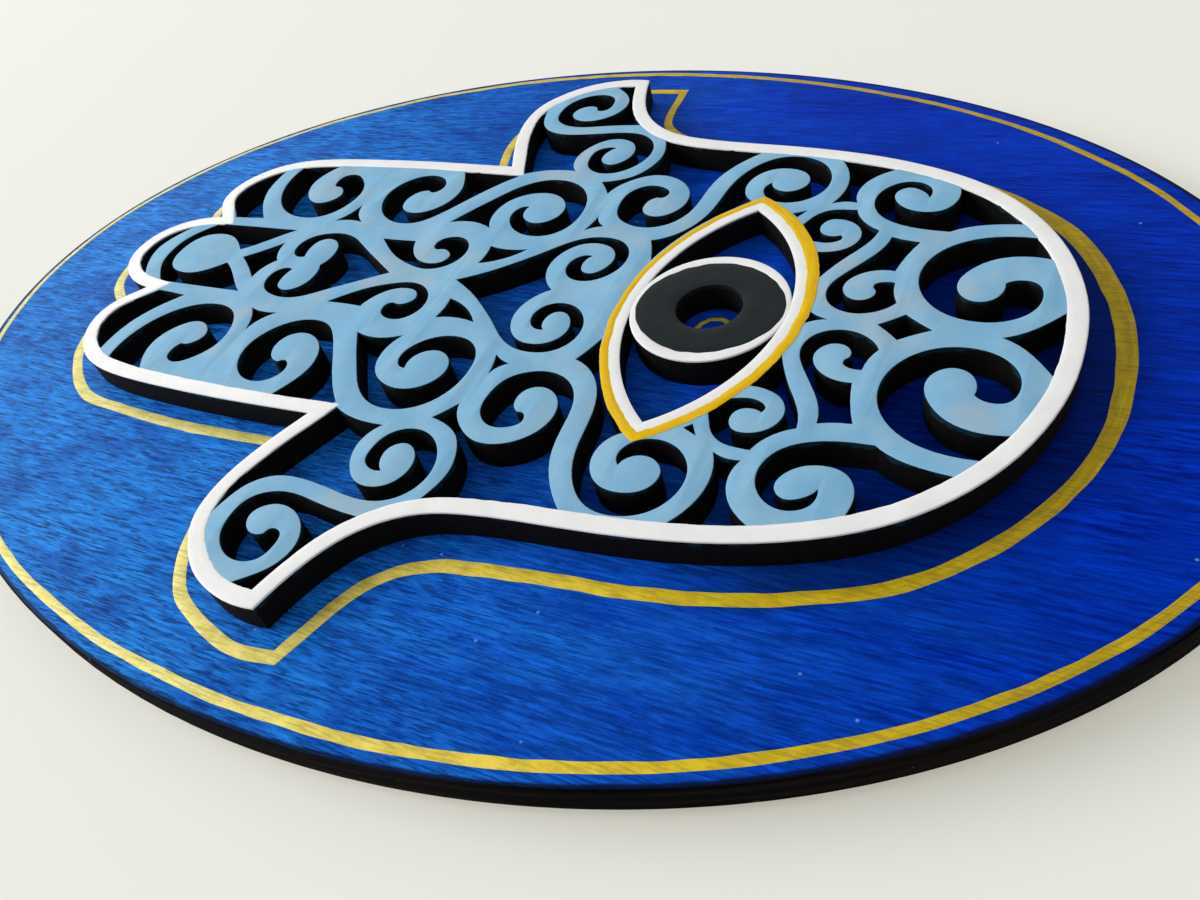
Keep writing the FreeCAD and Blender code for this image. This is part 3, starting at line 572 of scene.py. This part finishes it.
def gold_paint(name, colour, shade, metallic, roughness, sunk=0.0):
    """Gold paint: fine metal flakes, streaked along the stroke. On the wood it has sunk into the pores, where it is
    dull, and towards the fingers it is painted yellower and then paler: a painted sheen of the window."""
    material, tree = new_material(name)
    place = add(tree, "ShaderNodeTexCoord").outputs["Object"]
    stroke = add(tree, "ShaderNodeUVMap", uv_map="stroke").outputs["UV"]
    streak = noise(tree, stretched(tree, stroke, (120, 9, 1)), 1.0, 3.0, 0.6)
    patch = noise(tree, place, 260.0, 4.0, 0.7)
    body = mix(tree, ramp(tree, streak, 0.3, 0.7), shade, colour)
    body = mix(tree, ramp(tree, patch, 0.4, 0.7, 0.0, 0.7), body, shade)
    if sunk:
        wood = add(tree, "ShaderNodeGroup", {"Vector": place}, node_tree=board_wood).outputs
        mottle = ramp(tree, patch, 0.35, 0.65)
        sheen_yellow = mix(tree, mottle, (0.86, 0.64, 0.008), (0.68, 0.49, 0.004))
        sheen_straw = mix(tree, mottle, (0.74, 0.68, 0.25), (0.64, 0.57, 0.14))
        # painted sheen: the window's glare, as yellower and then paler gold towards the fingers
        body = mix(tree, ramp(tree, wood["Fingerwards"], -0.10, 0.0), body, sheen_yellow)
        body = mix(tree, ramp(tree, wood["Fingerwards"], -0.05, 0.09), body, sheen_straw)
        body = mix(tree, math_node(tree, "MULTIPLY", wood["Pores"], sunk), body, (0.08, 0.07, 0.03))
    flakes = noise(tree, place, 2500.0, 2.0, 0.7)
    surface = add(tree, "ShaderNodeBsdfPrincipled", {"Base Color": body, "Roughness": roughness})
    surface.inputs["Metallic"].default_value = metallic
    surface.inputs["Specular IOR Level"].default_value = 0.12
    if sunk:
        surface.inputs["Coat Weight"].default_value = 0.2
        surface.inputs["Coat Roughness"].default_value = 0.4
    finish_material(tree, surface, math_node(tree, "ADD", streak, flakes), 0.2, 0.00004)
    return material


eye_gold_paint = gold_paint("eye_gold_paint", (0.88, 0.57, 0.008), (0.74, 0.45, 0.005), 0.1, 0.45)


def gold_shift(amount, seed, swell=((0, 0), (1, 0))):
    """A hand-painted line's unevenness: both edges wander together, and each a little on its own. swell widens
    the line by its outer edge, as (share of the way round, width) pairs."""
    def moves(count, distances):
        outer = np.where(distances < distances.mean(), 1.0, 0.0)[None]
        share, width = np.array(swell).T
        wide = np.interp(np.linspace(0, 1, count, endpoint=False), share, width)[:, None]
        together = wobble(count, amount, 30, seed)[:, None]
        outer_edge = wobble(count, amount * 0.5, 110, seed + 1)[:, None]
        inner_edge = wobble(count, amount * 0.5, 110, seed + 2)[:, None]
        return together + outer_edge * outer + inner_edge * (1 - outer) - wide * outer
    return moves


eye_swell = np.array([(0, 0.1), (0.22, 0.1), (0.3, 0.35), (0.37, 0.75), (0.44, 0.6), (0.5, 0.1), (0.56, -0.4),
                      (0.75, -0.5), (0.86, -0.1), (0.95, 0.1), (1, 0.1)]) * (1, MM)
paint_line("eye_gold_line", almond(), flat_line(-0.02 * MM, EYE_GOLD + 0.05 * MM, 0.1 * MM), panel_high.z,
           eye_gold_paint, gold_shift(0.09 * MM, 11, eye_swell))

# Gold lines on the board: metallic paint drawn by hand, one along the oval's edge, one round the hand, and a
# small ring under the pupil's hole. The wood's grain shows through them.

OVAL_LINE = 1.6 * MM
HAND_LINE = 2.5 * MM
PUPIL_RING = 4.1 * MM
BOARD_FILM = 0.05 * MM
board_gold_paint = gold_paint("board_gold_paint", (0.62, 0.44, 0.003), (0.40, 0.28, 0.001), 0.25, 0.5, 0.32)


def smooth_side(points):
    """A smooth curve through points: cubic Hermite pieces, whose slope at a point is half the chord from its
    neighbour behind to the one ahead."""
    points = np.array(points, float) * MM
    ends = np.vstack([2 * points[0] - points[1], points, 2 * points[-1] - points[-2]])
    slope = (ends[2:] - ends[:-2]) / 2
    share = np.linspace(0, 1, 12, endpoint=False)[None, :, None]
    first, last = points[:-1, None], points[1:, None]
    leave, reach = slope[:-1, None], slope[1:, None]
    curve = ((2 * share ** 3 - 3 * share ** 2 + 1) * first + (share ** 3 - 2 * share ** 2 + share) * leave
             + (3 * share ** 2 - 2 * share ** 3) * last + (share ** 3 - share ** 2) * reach)
    return resampled(np.vstack([curve.reshape(-1, 2), points[-1:]]), STROKE_STEP)


# The oval line's distance from the board's edge and its extra width, in millimetres, at these angles in degrees
oval_angles = (0, 16, 60, 100, 130, 160, 176, 192, 208, 224, 240, 270, 304, 320, 336, 352, 360)
oval_insets = (2.7, 2.1, 1.9, 2.0, 2.6, 3.4, 4.4, 3.9, 3.1, 3.6, 3.7, 4.2, 4.8, 3.8, 4.0, 3.2, 2.7)
oval_extras = (0, -0.2, -0.4, -0.4, -0.1, 0.2, 0.2, 0.4, 0.3, 0.2, 0.2, 0, -0.2, -0.3, -0.2, -0.1, 0)
angle = np.linspace(0, 2 * np.pi, 721)
board_half = np.array([board_high.x, board_high.y])
spoke = np.stack([np.cos(angle), np.sin(angle)], -1)
outward = spoke / board_half
outward /= np.linalg.norm(outward, axis=1)[:, None]
SMOOTHED = 30
inset = np.interp(np.degrees(angle), oval_angles, oval_insets)
inset = np.convolve(np.r_[inset[-SMOOTHED - 1:-1], inset, inset[1:SMOOTHED + 1]],
                    np.ones(2 * SMOOTHED + 1) / (2 * SMOOTHED + 1), "valid") * MM
oval = spoke * board_half - inset[:, None] * outward
oval_swell = np.stack([np.array(oval_angles) / 360, np.array(oval_extras) * MM], -1)
paint_line("gold_oval", [oval], flat_line(-OVAL_LINE / 2, OVAL_LINE / 2, BOARD_FILM), board_top, board_gold_paint,
           gold_shift(0.12 * MM, 21, oval_swell))

# The line round the hand, in millimetres, corner by corner, anticlockwise from the lower left thumb corner
hand_line = [
    [(-91.5, -2.6), (-84.7, -5.1), (-79.1, -7.2), (-73.8, -10.4), (-69.9, -14.9), (-67.3, -20.4), (-65.9, -26.3),
     (-64.2, -40), (-62.8, -56), (-59.5, -73.7), (-53.3, -90.6), (-46.5, -100.5), (-37.7, -108.6), (-27.7, -114.7),
     (-16.7, -118.9), (-4.9, -120.4), (7, -119.9), (18.8, -117.5), (29.8, -113.2), (39.3, -107), (46.5, -99.5),
     (53, -90), (58.5, -75), (61.5, -57), (63.5, -40), (66, -25), (70, -14), (75.5, -7.4), (82.5, -5.6), (88, -5.3)],
    [(93, -5), (93.1, 2.2), (92.5, 11), (90, 18), (85.5, 25), (78, 31), (69, 34.3), (62, 34.2), (56.7, 33)],
    [(50, 30.5), (50.2, 45), (50.1, 62), (49.4, 78), (47, 92), (42.5, 101), (35.5, 107.5), (27, 110.8)],
    [(19.5, 109.5), (14, 117), (7, 120.6), (0, 121.6), (-6, 120.2), (-11, 116.8)],
    [(-16.2, 109.8), (-25, 111.2), (-32.5, 108.7), (-38, 104.4), (-43, 98.5), (-46.8, 91), (-48.3, 80), (-49.4, 62),
     (-49.1, 45)],
    [(-48.8, 31), (-57, 33.8), (-67, 34.6), (-76, 31.8), (-82.9, 27.6), (-87.1, 23), (-90.4, 14.5), (-92.2, 5.5)],
]
hand_line_sides = [smooth_side(side + [following[0]])
                   for side, following in zip(hand_line, hand_line[1:] + hand_line[:1])]
hand_swell = np.array([(0, 0.1), (0.05, 0.3), (0.13, 0), (0.2, 0.2), (0.24, 0.9), (0.29, 1.2), (0.32, 0.4),
                       (0.36, -0.2), (0.45, -0.5), (0.55, 0), (1, 0.1)]) * (1, MM)
paint_line("gold_hand_line", hand_line_sides, flat_line(-HAND_LINE / 2, HAND_LINE / 2, BOARD_FILM), board_top,
           board_gold_paint, gold_shift(0.14 * MM, 31, hand_swell))
paint_line("gold_pupil_ring", circle(PUPIL_RING, EYE_MIDDLE), flat_line(0, 1 * MM, BOARD_FILM), board_top,
           board_gold_paint, gold_shift(0.12 * MM, 41))

# Sawtooth hanger and its nails: zinc-plated steel. The strip is pressed from sheet, with a row of teeth for the
# wall's nail, and its own two nails are driven through its feet into the board's back.


def zinc_plate(name, colour, roughness):
    """Zinc plate: bright metal, faintly spangled, with fine scratches along the strip."""
    material, tree = new_material(name)
    place = add(tree, "ShaderNodeTexCoord").outputs["Object"]
    spangle = add(tree, "ShaderNodeTexVoronoi", {"Vector": place, "Scale": 500.0}).outputs["Color"]
    tone = add(tree, "ShaderNodeSeparateColor", {"Color": spangle}).outputs["Red"]
    body = mix(tree, tone, colour, tuple(0.82 * part for part in colour))
    scratches = noise(tree, stretched(tree, place, (200, 4000, 200)), 1.0, 3.0)
    surface = add(tree, "ShaderNodeBsdfPrincipled", {"Base Color": body, "Roughness": ramp(
        tree, scratches, 0.3, 0.7, roughness - 0.06, roughness + 0.08)})
    surface.inputs["Metallic"].default_value = 1.0
    finish_material(tree, surface, scratches, 0.2, 0.00003)
    return material


paint(nodes["sawtooth_hanger"], zinc_plate("hanger_steel", (0.62, 0.62, 0.60), 0.34))
paint(nodes["hanger_nails"], zinc_plate("nail_steel", (0.60, 0.58, 0.52), 0.30))

# Bumper pads: two discs punched from dark wool felt, stuck low down on the board's back with their own
# adhesive. They hold the plaque as far off the wall as the hanger does.


def felt():
    """Wool felt: matted fibres, dark grey, with a soft sheen."""
    material, tree = new_material("felt")
    place = add(tree, "ShaderNodeTexCoord").outputs["Object"]
    fibres = noise(tree, place, 3000.0, 6.0, 0.75, 1.5)
    body = mix(tree, ramp(tree, fibres, 0.3, 0.7), (0.010, 0.010, 0.011), (0.035, 0.035, 0.038))
    surface = add(tree, "ShaderNodeBsdfPrincipled", {"Base Color": body, "Roughness": 0.95})
    surface.inputs["Sheen Weight"].default_value = 0.4
    finish_material(tree, surface, fibres, 0.8, 0.0002)
    return material


wool = felt()
paint(nodes["bumper_pad_left"], wool)
paint(nodes["bumper_pad_right"], wool)

# Table, light and camera: the plaque lies on a plain off-white table top. A large window beyond the fingers, a
# smaller one beside it and a soft fill from above light it, in a pale room. The camera looks from where the
# photograph was taken.

HALF_TABLE = 6.0
table_mesh = bpy.data.meshes.new("table_top")
table_corners = np.array([(-1, -1, 0), (1, -1, 0), (1, 1, 0), (-1, 1, 0)]) * HALF_TABLE
table_mesh.from_pydata(table_corners, [], [(0, 1, 2, 3)])
table_top = bpy.data.objects.new("table_top", table_mesh)
bpy.context.scene.collection.objects.link(table_top)


def seen_rays(tree):
    """1 for rays that the camera, a reflection or a view through glass sends, and 0 for those that light."""
    rays = add(tree, "ShaderNodeLightPath").outputs
    mirrored = math_node(tree, "MAXIMUM", rays["Is Glossy Ray"], rays["Is Transmission Ray"])
    return math_node(tree, "MAXIMUM", rays["Is Camera Ray"], mirrored)


table_material, tree = new_material("table_top")
table_body = add(tree, "ShaderNodeBsdfPrincipled", {
    "Base Color": (0.51, 0.52, 0.52, 1), "Roughness": 0.9, "Specular IOR Level": 0.0,
    "Emission Color": (0.37, 0.36, 0.30, 1), "Emission Strength": seen_rays(tree)})
finish_material(tree, table_body)
paint(table_top, table_material)


def soft_lamp(name, place, size, power):
    """A rectangular area lamp that looks at the plaque's middle, at the origin."""
    light = bpy.data.lights.new(name, "AREA")
    light.shape = "RECTANGLE"
    light.size, light.size_y = size
    light.energy = power
    lamp = bpy.data.objects.new(name, light)
    lamp.location = place
    lamp.rotation_euler = (-Vector(place)).to_track_quat("-Z", "Y").to_euler()
    bpy.context.scene.collection.objects.link(lamp)


soft_lamp("window", (-0.60, 2.40, 1.32), (2.2, 1.0), 70.0)
soft_lamp("far_window", (1.25, 2.3, 1.2), (1.0, 0.9), 12.0)
soft_lamp("fill", (-0.3, 0.2, 2.6), (2.0, 2.0), 8.0)

world = bpy.data.worlds.new("room")
bpy.context.scene.world = world
world.use_nodes = True
tree = world.node_tree
background = tree.nodes["Background"].inputs
background["Color"].default_value = (0.9, 0.9, 0.88, 1)
tree.links.new(ramp(tree, seen_rays(tree), 0.0, 1.0, 0.43, 0.72), background["Strength"])

camera = bpy.data.objects.new("camera", bpy.data.cameras.new("camera"))
camera.data.lens = 29.73
camera.data.sensor_width = 36
camera.data.clip_start = 0.005
camera.location = (-0.13825, -0.11640, 0.13622)
camera.rotation_euler = [math.radians(turn) for turn in (44.090, 12.559, -65.327)]
bpy.context.scene.collection.objects.link(camera)
bpy.context.scene.camera = camera
bpy.context.scene.view_settings.view_transform = "Standard"
